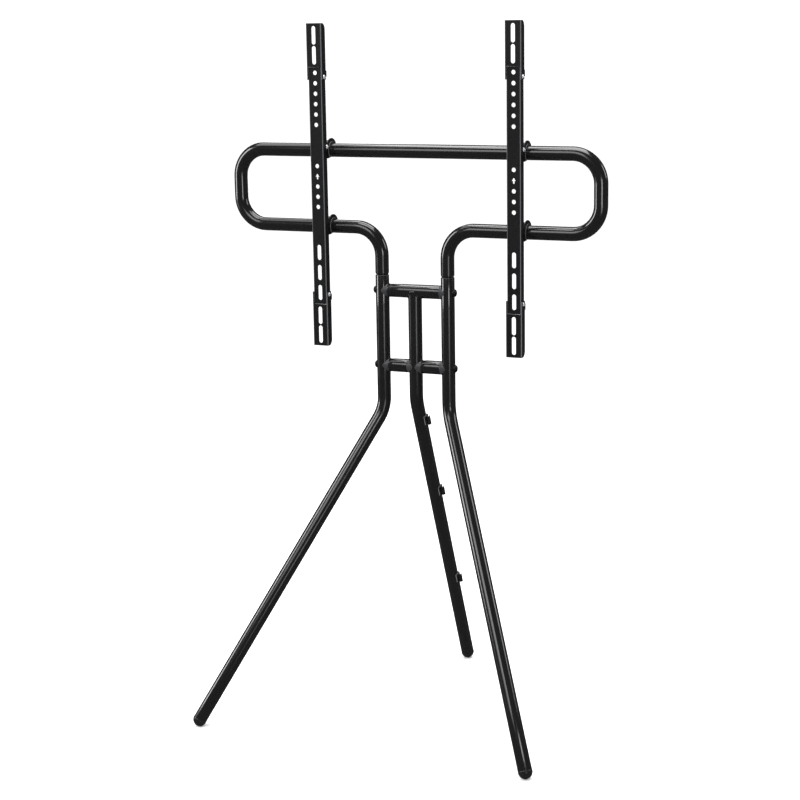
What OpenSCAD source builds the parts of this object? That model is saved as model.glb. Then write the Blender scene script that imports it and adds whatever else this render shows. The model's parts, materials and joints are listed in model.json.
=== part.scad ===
// Television floor stand: a bent tube frame on three legs, with two sliding mounting rails.
// The origin is on the floor, in the middle of the stand's footprint. The screen faces -Y.

/* [Frame tube] */
// Outside diameter of the frame, leg and crossbar tubes
tube_d = 27; // [22:0.5:34]
// Wall of those tubes
tube_wall = 1.5; // [1.2:0.1:2.5]
// Bend radius of the upper frame, on the tube's centre line
frame_bend_r = 55; // [45:1:60]
// Bend radius of the legs, on the tube's centre line
leg_bend_r = 75; // [50:1:110]

/* [Upper frame] */
// Width of the upper frame, between the centre lines of its two ends
frame_w = 762; // [640:1:920]
// Height from the floor to the centre line of the top tube
top_z = 1115; // [1090:1:1340]
// Distance between the top tube and the lower tube
loop_h = 150; // [135:1:180]
// Distance between the two posts
post_spacing = 140; // [115:1:170]
// Length of the swaged neck that sits inside each leg
neck_len = 55; // [35:1:70]
// Radial clearance of the neck in the leg
neck_gap = 0.25; // [0.1:0.05:0.5]

/* [Legs] */
// Height of the front legs' upper rims
leg_top_z = 872; // [868:1:885]
// Height of the front legs' bends
front_bend_z = 603; // [500:1:630]
// Height of the rear leg's bend
rear_bend_z = 623; // [500:1:640]
// Distance between the two front feet
front_spread = 686; // [560:1:820]
// How far the front feet stand in front of the posts
front_reach = 308; // [250:1:370]
// How far the rear foot stands behind the posts
rear_reach = 256; // [210:1:310]
// Length of the plug on a foot cap
foot_plug_len = 22; // [10:1:40]

/* [Crossbars] */
// Height of the upper crossbar
upper_bar_z = 842; // [838:1:846]
// Distance between the two crossbars
bar_pitch = 150; // [125:1:160]
// Length of the collar's plug inside a crossbar
plug_len = 18; // [12:1:22]
// Straight part of a collar between the leg and the crossbar's cut end
collar_step = 1.4; // [0.5:0.1:3]
// Diameter of the leg bolts
bolt_d = 8; // [6:1:8]
// Diameter of a leg bolt's domed head
bolt_head_d = 14; // [12:0.5:16]
// Height of a leg bolt's domed head
bolt_head_h = 3.9; // [3:0.1:5.5]

/* [Mounting rails] */
// Place of the left rail along the tubes
left_rail_x = -189; // [-230:1:-160]
// Place of the right rail along the tubes
right_rail_x = 222; // [160:1:230]
// Outside width of a rail
rail_w = 28; // [26:0.5:32]
// Depth of a rail's side walls
rail_depth = 17; // [15:0.5:19]
// Thickness of the rail's sheet
sheet = 1.8; // [1.5:0.1:2]
// Distance from the rail's front face to the centre line of the tubes
rail_offset = 38; // [36.5:0.5:42]
// Distance between two screw holes
hole_pitch = 20; // [20:0.5:22]
// Diameter of a screw hole, and width of a slot
hole_d = 8.4; // [6.5:0.1:9]
// Length of a slot in a rail
slot_len = 30; // [20:1:34]
// Height of the top screw hole above the top tube
first_hole_up = 151; // [145:1:160]
// Length of rail above the top screw hole
rail_above = 14; // [9:0.5:15]
// Length of rail below the lowest slot
rail_below = 11; // [6:0.5:12]

/* [Hooks] */
// Width of a hook plate around its liner
hook_band = 6.1; // [4:0.1:8]
// Wall of the saddle liner that shows
liner_wall = 3.4; // [2.5:0.1:4]
// Radial clearance between a liner and its tube
liner_gap = 0.3; // [0.2:0.05:0.6]
// How far a liner stands out past the rail's sides
liner_proud = 2; // [1:0.1:4]
// Diameter of the cross screw at an upper hook
hook_screw_d = 4; // [3:0.5:5]

/* [Rail extensions] */
// Length of an extension's front face
ext_face_len = 84; // [80:1:110]
// Length of the side tails that run on past the front face
ext_tail = 24; // [20:1:40]
// Distance between an extension's two slots
ext_slot_pitch = 38; // [37.5:0.5:44]
// Length of an extension's slot
ext_slot_len = 35; // [25:1:36]
// How far an extension's front face overlaps the rail's end
ext_overlap = 3.5; // [2:0.5:4]
// Clearance between an extension and its rail
ext_gap = 0.4; // [0.3:0.05:0.8]
// Radius of an extension's rear corner
ext_corner_r = 12; // [6:0.5:14]
// Diameter of a lock screw
lock_screw_d = 4; // [3:0.5:5]
// Diameter of a lock screw's head
lock_head_d = 8; // [6.5:0.5:9]

/* [Cable clips] */
// Places of the clips along the rear leg, from its bend
clip_places = [45, 220, 450];
// Length of a clip
clip_len = 20; // [12:1:28]
// Diameter of the cable space in a clip
clip_bore_d = 5.6; // [5.4:0.1:9]
// Wall of a clip
clip_wall = 1.3; // [1:0.1:2]

/* [Hidden] */
$fn = 72;
CUT = 1;                        // how far a cutter runs past the face it opens
FIT = 0.1;                      // clearance between pieces that are pressed or screwed together
tube_r = tube_d / 2;
bore_r = tube_r - tube_wall;
post_x = post_spacing / 2;
low_z = top_z - loop_h;
end_x = frame_w / 2;
lower_bar_z = upper_bar_z - bar_pitch;
foot_x = front_spread / 2;
frame_y = (front_reach - rear_reach) / 2;

neck_r = bore_r - neck_gap;
neck_wall = tube_wall;
taper_len = 3;                  // cone between the full tube and its neck
rim_gap = 1;                    // between a leg's rim and the cone

rail_half = rail_w / 2;
first_hole_z = top_z + first_hole_up;
rail_top_z = first_hole_z + rail_above;
upper_holes = [0:5];            // in hole pitches below the first hole
lower_holes = [9, 11, 12, 13];
keyhole_step = 10;
slot_steps = [17.5, 19.5, 21.5];
last_slot_z = first_hole_z - slot_steps[2] * hole_pitch;
rail_bottom_z = last_slot_z - slot_len / 2 - rail_below;

liner_in_r = tube_r + liner_gap;
liner_out_r = liner_in_r + liner_wall;
hook_in_r = liner_out_r + 0.2;
hook_out_r = hook_in_r + hook_band;
hook_floor = tube_r + 1.6;      // how far a hook's front leg reaches below the tube's centre
hook_from = -10;                // the hook's rear tip, in degrees up from +Y
liner_to = 236;                 // the liner's front tip
hook_screw_angle = 160;
hook_screw_ring = hook_in_r + hook_screw_d + 1;

ext_half = rail_half + ext_gap + sheet;
ext_front = rail_offset + ext_gap + sheet;
ext_depth = ext_front - (rail_offset - rail_depth) - 1;
lip_len = ext_tail / 2;
lip_reach = 1.4;                // how far a lip reaches in behind the rail's side wall
lock_in = 5.5;                  // lock screw's distance from the tail's end
lock_back = 9.2;                // lock screw's distance from the extension's front face
pan_h = 2.2;                    // height of the small screws' heads

GLOSS_BLACK = [0.06, 0.06, 0.065];
SATIN_BLACK = [0.09, 0.09, 0.095];
RUBBER = [0.04, 0.04, 0.04];
PLASTIC = [0.13, 0.13, 0.135];
ZINC = [0.8, 0.81, 0.82];
FOAM = [0.3, 0.3, 0.31];

// ---------- general shapes ----------

module ring(r_out, r_in, h) {
    difference() {
        cylinder(r = r_out, h = h);
        translate([0, 0, -CUT]) cylinder(r = r_in, h = h + 2 * CUT);
    }
}

// A length of frame tube along +X.
module tube_x(len) {
    rotate([0, 90, 0]) ring(tube_r, bore_r, len);
}

// A bend of frame tube. It starts at the origin along +Z and turns towards +X.
module tube_bend(bend_r, angle) {
    translate([bend_r, 0, 0])
        rotate([-90, 0, 0])
            rotate([0, 0, 180])
                rotate_extrude(angle = angle)
                    translate([bend_r, 0]) difference() {
                        circle(r = tube_r);
                        circle(r = bore_r);
                    }
}

// A cylinder along +X that starts at the given X.
module rod_x(r, from, to) {
    translate([from, 0, 0]) rotate([0, 90, 0]) cylinder(r = r, h = to - from);
}

// A domed screw head that stands on z = 0: its radius, its height and the radius of its dome.
module domed_head(r, h, dome_r) {
    rotate_extrude() intersection() {
        translate([0, h - dome_r]) circle(r = dome_r);
        square([r, h]);
    }
}

// Puts children with their Z along +X, at the given X.
module facing_x(from) {
    translate([from, 0, 0]) rotate([0, 90, 0]) children();
}

// Everything is drawn in the plane of the posts, then moved to the middle of the footprint.
module placed() {
    translate([0, frame_y, 0]) children();
}

// ---------- upper frame ----------

// The right half: half the top tube, the end loop, the lower tube and the post with its neck.
module frame_half() {
    straight_top = end_x - frame_bend_r;
    straight_low = end_x - frame_bend_r - (post_x + frame_bend_r);
    post_top_z = low_z - frame_bend_r;
    cone_z = leg_top_z + rim_gap;
    translate([0, 0, top_z]) tube_x(straight_top);
    translate([straight_top, 0, top_z])
        rotate([0, 90, 0]) tube_bend(frame_bend_r, 90);
    translate([end_x, 0, low_z + frame_bend_r])
        ring(tube_r, bore_r, loop_h - 2 * frame_bend_r);
    translate([end_x, 0, low_z + frame_bend_r])
        rotate([0, 180, 0]) tube_bend(frame_bend_r, 90);
    translate([post_x + frame_bend_r, 0, low_z]) tube_x(straight_low);
    translate([post_x, 0, post_top_z]) tube_bend(frame_bend_r, 90);
    translate([post_x, 0, cone_z + taper_len])
        ring(tube_r, bore_r, post_top_z - cone_z - taper_len);
    translate([post_x, 0, 0]) rotate_extrude() polygon([
        [bore_r, cone_z + taper_len],
        [tube_r, cone_z + taper_len],
        [neck_r, cone_z],
        [neck_r, leg_top_z - neck_len],
        [neck_r - neck_wall, leg_top_z - neck_len],
        [neck_r - neck_wall, cone_z]
    ]);
}

module upper_frame() {
    color(GLOSS_BLACK) placed() difference() {
        union() {
            frame_half();
            mirror([1, 0, 0]) frame_half();
        }
        for (side = [-1, 1]) translate([side * post_x, 0, 0]) {
            rotate([0, 0, side < 0 ? 0 : 180]) frame_lock_hole();
            bolt_hole_x(upper_bar_z);
        }
    }
}

// Headless lock screws sit in the legs' inner sides, between the crossbar and the rim.
grub_proud = 0.5;               // how far their ends stand out of the leg
frame_lock_z = upper_bar_z + tube_r + lock_head_d / 2 + 1;

// Hole for a lock screw, through the wall on the +X side.
module frame_lock_hole() {
    translate([0, 0, frame_lock_z]) facing_x(0) cylinder(d = lock_screw_d + 2 * FIT, h = tube_d);
}

module frame_lock_screws() {
    color(PLASTIC) placed() for (side = [-1, 1])
        translate([side * post_x, 0, frame_lock_z])
            rotate([0, 0, side < 0 ? 0 : 180]) {
                rod_x(lock_screw_d / 2, neck_r - neck_wall - 3, tube_r + grub_proud);
            }
}

// ---------- legs ----------

// Angle of a leg's splay from vertical, for a foot that far out and that far below the bend.
function splay(out, drop) = atan2(out, drop);
front_out = sqrt(pow(foot_x - post_x, 2) + pow(front_reach, 2));
front_turn = atan2(-front_reach, foot_x - post_x);
front_splay = splay(front_out, front_bend_z - tube_r);
rear_splay = splay(rear_reach, rear_bend_z - tube_r);
function slant_len(out, drop) = sqrt(out * out + drop * drop);
function bend_cut(angle) = leg_bend_r * tan(angle / 2);

bend_step = 0.05;               // the wall below a leg's bend is that much thinner on each side
bend_lap = 0.1;                 // and runs that far into the bend

// A bent leg around its own upright axis, splaying towards +X. It is open at both ends.
module leg_tube(top, bend_z, out) {
    angle = splay(out, bend_z - tube_r);
    cut = bend_cut(angle);
    slant = slant_len(out, bend_z - tube_r) - cut - FIT / 2;
    translate([0, 0, bend_z + cut]) ring(tube_r, bore_r, top - bend_z - cut);
    translate([0, 0, bend_z + cut])
        rotate([180, 0, 0]) tube_bend(leg_bend_r, angle);
    translate([0, 0, bend_z])
        rotate([0, 180 - angle, 0]) translate([0, 0, cut - bend_lap])
            ring(tube_r - bend_step, bore_r + bend_step, slant + bend_lap);
}

// Hole for a leg bolt, through both walls.
module bolt_hole_x(z) {
    translate([-tube_d, 0, z])
        rotate([0, 90, 0]) cylinder(d = bolt_d + 2 * FIT, h = 2 * tube_d);
}

module front_leg() {
    color(GLOSS_BLACK) placed() translate([post_x, 0, 0]) difference() {
        rotate([0, 0, front_turn]) leg_tube(leg_top_z, front_bend_z, front_out);
        bolt_hole_x(upper_bar_z);
        bolt_hole_x(lower_bar_z);
        rotate([0, 0, 180]) frame_lock_hole();
    }
}

module right_leg() { front_leg(); }

module left_leg() { mirror([1, 0, 0]) front_leg(); }

// The rear leg's top is coped to fit under the upper crossbar.
module rear_leg() {
    color(GLOSS_BLACK) placed() difference() {
        rotate([0, 0, 90]) leg_tube(upper_bar_z, rear_bend_z, rear_reach);
        translate([0, 0, upper_bar_z]) rod_x(tube_r + FIT, -tube_d, tube_d);
        bolt_hole_x(lower_bar_z);
    }
}

// The bead follows the saddle-shaped seam between the rear leg and the crossbar.
module rear_leg_weld() {
    bead = 1.6;
    color(GLOSS_BLACK) placed() intersection() {
        translate([0, 0, upper_bar_z - tube_d]) ring(tube_r + bead, tube_r + FIT, tube_d);
        translate([-tube_d, 0, upper_bar_z])
            rotate([0, 90, 0]) ring(tube_r + bead, tube_r + FIT, 2 * tube_d);
    }
}

// ---------- feet ----------

// A foot turned to follow its leg, whose plug points up the leg.
module foot_at(x, y, turn, angle) {
    color(RUBBER) placed() translate([x, y, tube_r])
        rotate([0, 0, turn]) rotate([0, -angle, 0]) difference() {
            union() {
                difference() {
                    sphere(r = tube_r);
                    cylinder(r = tube_d, h = tube_d);
                }
                translate([0, 0, -CUT]) cylinder(r = bore_r - FIT, h = foot_plug_len + CUT);
            }
        }
}

module right_foot() { foot_at(foot_x, -front_reach, front_turn, front_splay); }

module left_foot() { mirror([1, 0, 0]) right_foot(); }

module rear_foot() { foot_at(0, rear_reach, 90, rear_splay); }

// ---------- crossbars ----------

// A crossbar starts and ends a collar step outside the tube that it meets.
bar_start = tube_r + collar_step;
// Two plugs share each half of the lower crossbar, so a fat tube shortens them.
plug_fit = min(plug_len, post_x / 2 - bar_start - 1);

module crossbar(from, to, z) {
    color(GLOSS_BLACK) placed() translate([from, 0, z]) tube_x(to - from);
}

module upper_crossbar() { crossbar(-post_x + bar_start, post_x - bar_start, upper_bar_z); }

module lower_crossbar_right() { crossbar(bar_start, post_x - bar_start, lower_bar_z); }

module lower_crossbar_left() { mirror([1, 0, 0]) lower_crossbar_right(); }

// A collar on the +X side of an upright tube at the origin: coped outside, plugged into the bar.
module collar() {
    color(PLASTIC) difference() {
        union() {
            rod_x(tube_r, 0, bar_start - FIT);
            rod_x(bore_r - FIT, bar_start - CUT, bar_start + plug_fit);
        }
        translate([0, 0, -tube_d]) cylinder(r = tube_r + FIT, h = 2 * tube_d);
        rod_x(bolt_d / 2 + FIT, 0, bar_start + plug_fit + CUT);
    }
}

module collar_at(x, z, facing) {
    placed() translate([x, 0, z]) rotate([0, 0, facing > 0 ? 0 : 180]) collar();
}

module upper_collar_left() { collar_at(-post_x, upper_bar_z, 1); }
module upper_collar_right() { collar_at(post_x, upper_bar_z, -1); }
module lower_collar_left_outer() { collar_at(-post_x, lower_bar_z, 1); }
module lower_collar_left_inner() { collar_at(0, lower_bar_z, -1); }
module lower_collar_right_inner() { collar_at(0, lower_bar_z, 1); }
module lower_collar_right_outer() { collar_at(post_x, lower_bar_z, -1); }

// ---------- leg bolts ----------

washer_t = 1;                   // washer's thickness at its crown
washer_d = bolt_head_d + 1.5;

module at_leg_bolts() {
    placed() for (side = [-1, 1], z = [upper_bar_z, lower_bar_z])
        translate([side * post_x, 0, z]) rotate([0, 0, side > 0 ? 0 : 180]) children();
}

// Domed head outside, shank through the leg into the collar.
module leg_bolts() {
    seat = tube_r + washer_t + FIT;
    rim = 1;
    rise = bolt_head_h - rim;
    dome_r = (pow(bolt_head_d / 2, 2) + pow(rise, 2)) / (2 * rise);
    color(GLOSS_BLACK) at_leg_bolts() difference() {
        union() {
            facing_x(seat) domed_head(bolt_head_d / 2, bolt_head_h, dome_r);
            rod_x(bolt_d / 2 - FIT, -(bar_start + plug_fit - 2), seat + CUT);
        }
        facing_x(seat + bolt_head_h / 3) cylinder(d = bolt_d * 0.625, h = bolt_head_h, $fn = 6);
    }
}

module leg_bolt_washers() {
    color(GLOSS_BLACK) at_leg_bolts() difference() {
        rod_x(washer_d / 2, 0, tube_r + washer_t);
        translate([0, 0, -tube_d]) cylinder(r = tube_r + FIT, h = 2 * tube_d);
        rod_x(bolt_d / 2 + FIT, 0, tube_r + washer_t + CUT);
    }
}

// A threaded stud holds the two inner collars against the rear leg.
module centre_stud() {
    reach = bar_start + plug_fit - 2;
    color(ZINC) placed() translate([0, 0, lower_bar_z]) rod_x(bolt_d / 2 - FIT, -reach, reach);
}

// ---------- cable clips ----------

clip_centre = tube_r + 1 + clip_wall + clip_bore_d / 2;

// Puts children on the +X side of the rear leg, that far below the bend, with Z along the leg.
module on_rear_leg(place) {
    placed() translate([0, 0, rear_bend_z])
        rotate([rear_splay, 0, 0]) translate([0, 0, -place]) children();
}

// A sprung clip whose mouth opens to the rear, on a foot that hugs the leg.
module clip(place) {
    outer_r = clip_bore_d / 2 + clip_wall;
    mouth = clip_bore_d * 0.82;
    color(PLASTIC) on_rear_leg(place) translate([0, 0, -clip_len / 2]) difference() {
        union() {
            translate([clip_centre, 0, 0]) cylinder(r = outer_r, h = clip_len);
            translate([tube_r / 2, -tube_r / 2, 0])
                cube([clip_centre - tube_r / 2 - clip_bore_d / 2, tube_r, clip_len]);
        }
        translate([0, 0, -CUT]) cylinder(r = tube_r + 1, h = clip_len + 2 * CUT);
        translate([clip_centre, 0, -CUT])
            cylinder(d = clip_bore_d, h = clip_len + 2 * CUT);
        translate([clip_centre - mouth / 2, 0, -CUT])
            cube([mouth, 2 * outer_r, clip_len + 2 * CUT]);
    }
}

module cable_clip_upper() { clip(clip_places[0]); }
module cable_clip_middle() { clip(clip_places[1]); }
module cable_clip_lower() { clip(clip_places[2]); }

module clip_pads() {
    color(FOAM) for (place = clip_places) on_rear_leg(place) translate([0, 0, -clip_len / 2])
        intersection() {
            ring(tube_r + 0.9, tube_r + FIT, clip_len);
            translate([tube_r / 2, -tube_r / 2, 0]) cube([tube_r, tube_r, clip_len]);
        }
}

// ---------- mounting rails ----------

// The rails' own frame: X across the rail, Y from the tubes' centre line, Z from the floor.
module in_rail(x) {
    placed() translate([x, 0, 0]) children();
}

// A channel along Z with its web at the front: outer half width, front face, depth, from z to z.
module channel(half, front, depth, from, to) {
    difference() {
        translate([-half, -front, from]) cube([2 * half, depth, to - from]);
        translate([-half + sheet, -front + sheet, from - CUT])
            cube([2 * (half - sheet), depth, to - from + 2 * CUT]);
    }
}

// A through hole in the web at that height.
module web_hole(front, z, d) {
    translate([0, -front - CUT, z]) rotate([-90, 0, 0]) cylinder(d = d, h = sheet + 2 * CUT);
}

// An upright slot in the web.
module web_slot(front, z, len) {
    translate([0, -front - CUT, z]) rotate([-90, 0, 0])
        linear_extrude(height = sheet + 2 * CUT) {
            square([hole_d, len - hole_d], center = true);
            for (end = [-1, 1]) translate([0, end * (len - hole_d) / 2]) circle(d = hole_d);
        }
}

// The locating hole: a pointed head on a narrow stem.
module web_keyhole(z) {
    head = hole_d * 0.52;
    stem_w = hole_d * 0.42;
    translate([0, -rail_offset - CUT, z]) rotate([-90, 0, 0])
        linear_extrude(height = sheet + 2 * CUT) {
            polygon([[0, -head * 1.2], [head, head * 0.15], [-head, head * 0.15]]);
            square([stem_w, 2 * head], center = true);
            translate([0, head]) circle(d = stem_w);
        }
}

// One hook plate's outline, in the plane across the tube: x is the stand's Y, y its Z.
module hook_outline() {
    back = rail_offset - rail_depth;
    difference() {
        union() {
            intersection() {
                circle(r = hook_out_r);
                union() {
                    translate([-2 * hook_out_r, -hook_floor])
                        square([2 * hook_out_r, 4 * hook_out_r]);
                    polygon([[0, 0],
                        [2 * hook_out_r * cos(hook_from), 2 * hook_out_r * sin(hook_from)],
                        [2 * hook_out_r, 2 * hook_out_r], [0, 2 * hook_out_r]]);
                }
            }
            translate([-back - CUT, -hook_floor]) square([CUT + back - hook_in_r / 2, hook_floor]);
        }
        circle(r = hook_in_r);
        translate([hook_in_r * cos(liner_to), -2 * hook_out_r])
            square([hook_out_r, 2 * hook_out_r + hook_out_r * sin(hook_from)]);
    }
}

// The pair of hook plates at a tube.
module hook_plates(z) {
    for (side = [-1, 1])
        translate([side * (rail_half - sheet / 2), 0, z])
            rotate([90, 0, 90])
                linear_extrude(height = sheet, center = true) hook_outline();
}

module rail(x) {
    color(SATIN_BLACK) in_rail(x) difference() {
        union() {
            channel(rail_half, rail_offset, rail_depth, rail_bottom_z, rail_top_z);
            hook_plates(top_z);
            hook_plates(low_z);
        }
        for (step = upper_holes) web_hole(rail_offset, first_hole_z - step * hole_pitch, hole_d);
        for (step = lower_holes) web_hole(rail_offset, first_hole_z - step * hole_pitch, hole_d);
        for (step = slot_steps) web_slot(rail_offset, first_hole_z - step * hole_pitch, slot_len);
        web_keyhole(first_hole_z - keyhole_step * hole_pitch);
        at_hook_screw() rod_x(hook_screw_d / 2 + FIT, -rail_w, rail_w);
    }
}

module left_rail() { rail(left_rail_x); }
module right_rail() { rail(right_rail_x); }

module at_hook_screw() {
    translate([0, hook_screw_ring * cos(hook_screw_angle),
        top_z + hook_screw_ring * sin(hook_screw_angle)]) children();
}

// A saddle that lines a hook. Its waist fills the plates' cut-outs, its body sits between them.
module liner(x, z) {
    body_half = rail_half - sheet - 0.3;
    waist_half = rail_half + liner_proud;
    color(PLASTIC) in_rail(x) translate([0, 0, z]) rotate([90, 0, 90])
        rotate([0, 0, hook_from + 4])
            rotate_extrude(angle = liner_to - hook_from - 4) polygon([
                [liner_in_r, -waist_half],
                [liner_out_r, -waist_half],
                [liner_out_r, -body_half],
                [liner_out_r + 2, -body_half],
                [liner_out_r + 2, body_half],
                [liner_out_r, body_half],
                [liner_out_r, waist_half],
                [liner_in_r, waist_half]
            ]);
}

module left_rail_upper_liner() { liner(left_rail_x, top_z); }
module left_rail_lower_liner() { liner(left_rail_x, low_z); }
module right_rail_upper_liner() { liner(right_rail_x, top_z); }
module right_rail_lower_liner() { liner(right_rail_x, low_z); }

// The cross screw ties the two upper hook plates together. Its head is on the +X side.
module hook_screw(x) {
    head_r = hook_screw_d;
    color(ZINC) in_rail(x) at_hook_screw() {
        rod_x(hook_screw_d / 2 - FIT, -rail_half - 5, rail_half + 1);
        facing_x(rail_half + FIT) domed_head(head_r, pan_h, 1.6 * head_r);
    }
}

module hook_nut(x) {
    nut_h = 3.2;
    color(ZINC) in_rail(x) at_hook_screw() translate([-rail_half - FIT - nut_h, 0, 0])
        rotate([0, 90, 0]) difference() {
            cylinder(d = 7.6 * hook_screw_d / 4, h = nut_h, $fn = 6);
            translate([0, 0, -CUT]) cylinder(r = hook_screw_d / 2, h = nut_h + 2 * CUT);
        }
}

module left_hook_screw() { hook_screw(left_rail_x); }
module right_hook_screw() { hook_screw(right_rail_x); }
module left_hook_nut() { hook_nut(left_rail_x); }
module right_hook_nut() { hook_nut(right_rail_x); }

// ---------- rail extensions ----------

// An extension in its own frame: z = 0 at the face's inner end, the face towards +Z, the tails down.
module extension_shape() {
    rear = ext_front - ext_depth;
    slot_mid = ext_face_len - (ext_slot_pitch + ext_slot_len) / 2 - (ext_slot_len - slot_len) - 0.5;
    difference() {
        union() {
            difference() {
                channel(ext_half, ext_front, ext_depth, -ext_tail, ext_face_len);
                translate([-ext_half + sheet, -ext_front - CUT, -ext_tail - CUT])
                    cube([2 * (ext_half - sheet), sheet + 2 * CUT, ext_tail + CUT]);
            }
            for (side = [-1, 1]) tail_lip(side);
        }
        for (end = [-1, 1]) web_slot(ext_front, slot_mid + end * ext_slot_pitch / 2, ext_slot_len);
        translate([0, -rear, ext_face_len]) corner_cut();
        for (side = [-1, 1]) mirror([side < 0 ? 1 : 0, 0, 0])
            translate([0, -ext_front + lock_back, -ext_tail + lock_in])
                rod_x(lock_screw_d / 2 + FIT, rail_half, ext_half + CUT);
    }
}

// Rounds the side walls' rear corners at the extension's outer end.
module corner_cut() {
    rotate([90, 0, 90]) translate([0, 0, -rail_w])
        linear_extrude(height = 2 * rail_w) difference() {
            translate([-ext_corner_r, -ext_corner_r]) square(ext_corner_r + CUT);
            translate([-ext_corner_r, -ext_corner_r]) circle(r = ext_corner_r);
        }
}

// A lip folded behind the rail's side wall keeps the extension on.
module tail_lip(side) {
    rear = rail_offset - rail_depth - ext_gap;
    wall_rear = ext_front - ext_depth;
    wall_x = ext_half - sheet;
    mirror([side < 0 ? 1 : 0, 0, 0]) {
        translate([wall_x, -wall_rear - CUT, -ext_tail + lock_in])
            cube([sheet, wall_rear - rear + sheet + CUT, lip_len]);
        translate([wall_x - lip_reach, -rear, -ext_tail + lock_in])
            cube([lip_reach + sheet, sheet, lip_len]);
    }
}

module at_top_extension(x) {
    in_rail(x) translate([0, 0, rail_top_z - ext_overlap]) children();
}

module at_bottom_extension(x) {
    in_rail(x) translate([0, 0, rail_bottom_z + ext_overlap]) mirror([0, 0, 1]) children();
}

module left_top_extension() { color(SATIN_BLACK) at_top_extension(left_rail_x) extension_shape(); }
module left_bottom_extension() { color(SATIN_BLACK) at_bottom_extension(left_rail_x) extension_shape(); }
module right_top_extension() { color(SATIN_BLACK) at_top_extension(right_rail_x) extension_shape(); }
module right_bottom_extension() { color(SATIN_BLACK) at_bottom_extension(right_rail_x) extension_shape(); }

// Two pan-headed screws, one in each tail. Their tips bear on the rail's side walls.
module lock_screws() {
    head_r = lock_head_d / 2;
    color(ZINC) for (side = [-1, 1]) mirror([side < 0 ? 1 : 0, 0, 0])
        translate([0, -ext_front + lock_back, -ext_tail + lock_in]) {
            rod_x(lock_screw_d / 2, rail_half + FIT, ext_half + 1);
            facing_x(ext_half + FIT) domed_head(head_r, pan_h, 1.6 * head_r);
        }
}

module left_top_lock_screws() { at_top_extension(left_rail_x) lock_screws(); }
module left_bottom_lock_screws() { at_bottom_extension(left_rail_x) lock_screws(); }
module right_top_lock_screws() { at_top_extension(right_rail_x) lock_screws(); }
module right_bottom_lock_screws() { at_bottom_extension(right_rail_x) lock_screws(); }

// ---------- output ----------

upper_frame();
left_leg();
right_leg();
rear_leg();
upper_crossbar();
lower_crossbar_left();
lower_crossbar_right();
upper_collar_left();
upper_collar_right();
lower_collar_left_outer();
lower_collar_left_inner();
lower_collar_right_inner();
lower_collar_right_outer();
rear_leg_weld();
leg_bolts();
leg_bolt_washers();
centre_stud();
frame_lock_screws();
left_foot();
right_foot();
rear_foot();
cable_clip_upper();
cable_clip_middle();
cable_clip_lower();
clip_pads();
left_rail();
right_rail();
left_rail_upper_liner();
left_rail_lower_liner();
right_rail_upper_liner();
right_rail_lower_liner();
left_hook_screw();
right_hook_screw();
left_hook_nut();
right_hook_nut();
left_top_extension();
left_bottom_extension();
right_top_extension();
right_bottom_extension();
left_top_lock_screws();
left_bottom_lock_screws();
right_top_lock_screws();
right_bottom_lock_screws();
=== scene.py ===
"""Looks of a television floor stand: a bent tube frame on three legs, with two sliding mounting rails.

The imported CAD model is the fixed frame. Each class below builds or dresses one sub-assembly.
"""

import json
import logging
import math
from dataclasses import dataclass
from enum import Enum

import bmesh
import bpy
from mathutils import Matrix, Vector


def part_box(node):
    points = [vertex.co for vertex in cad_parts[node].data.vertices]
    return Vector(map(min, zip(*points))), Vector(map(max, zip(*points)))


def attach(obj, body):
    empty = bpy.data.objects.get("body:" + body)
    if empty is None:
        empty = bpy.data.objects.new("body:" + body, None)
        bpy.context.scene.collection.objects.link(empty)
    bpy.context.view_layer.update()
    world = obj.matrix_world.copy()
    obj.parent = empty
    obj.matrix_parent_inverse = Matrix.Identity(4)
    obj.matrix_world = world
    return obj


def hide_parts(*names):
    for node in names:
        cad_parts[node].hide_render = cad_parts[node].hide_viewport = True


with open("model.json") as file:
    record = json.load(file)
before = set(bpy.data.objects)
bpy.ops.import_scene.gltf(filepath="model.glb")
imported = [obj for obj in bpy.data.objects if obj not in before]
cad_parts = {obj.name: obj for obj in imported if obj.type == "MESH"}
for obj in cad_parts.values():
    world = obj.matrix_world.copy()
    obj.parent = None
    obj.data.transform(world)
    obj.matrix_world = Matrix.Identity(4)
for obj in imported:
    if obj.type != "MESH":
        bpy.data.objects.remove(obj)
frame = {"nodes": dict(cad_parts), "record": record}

log = logging.getLogger("stand")
MM = 0.001
PAINTED_HIGHLIGHT = "painted_highlight"  # face attribute of the edges that take a painted highlight, a paler coat colour


class Body(Enum):
    """The rigid bodies that a piece can ride on."""

    BASE = "base"
    LEFT_RAIL = "left_rail"
    RIGHT_RAIL = "right_rail"
    LEFT_TOP = "left_top_extension"
    LEFT_BOTTOM = "left_bottom_extension"
    RIGHT_TOP = "right_top_extension"
    RIGHT_BOTTOM = "right_bottom_extension"


class Slot(Enum):
    """The record's material slots."""

    POWDER_COAT = "powder_coat"
    RAIL_STEEL = "rail_steel"
    BLACK_SCREW = "black_screw"
    NYLON = "nylon"
    LINER = "liner"
    FOOT_RUBBER = "foot_rubber"
    FOAM = "foam"
    ZINC = "zinc"


# ---------------------------------------------------------------- materials


def linear(hex_colour: str) -> tuple[float, float, float, float]:
    """Turns an sRGB hex colour into the linear colour that a shader takes.

    Args:
        hex_colour: Six hex digits, such as "1A1B1C".

    Returns:
        Linear red, green, blue and an alpha of 1.
    """
    parts = [int(hex_colour[i : i + 2], 16) / 255 for i in (0, 2, 4)]
    r, g, b = [c / 12.92 if c <= 0.04045 else ((c + 0.055) / 1.055) ** 2.4 for c in parts]
    return (r, g, b, 1.0)


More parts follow.
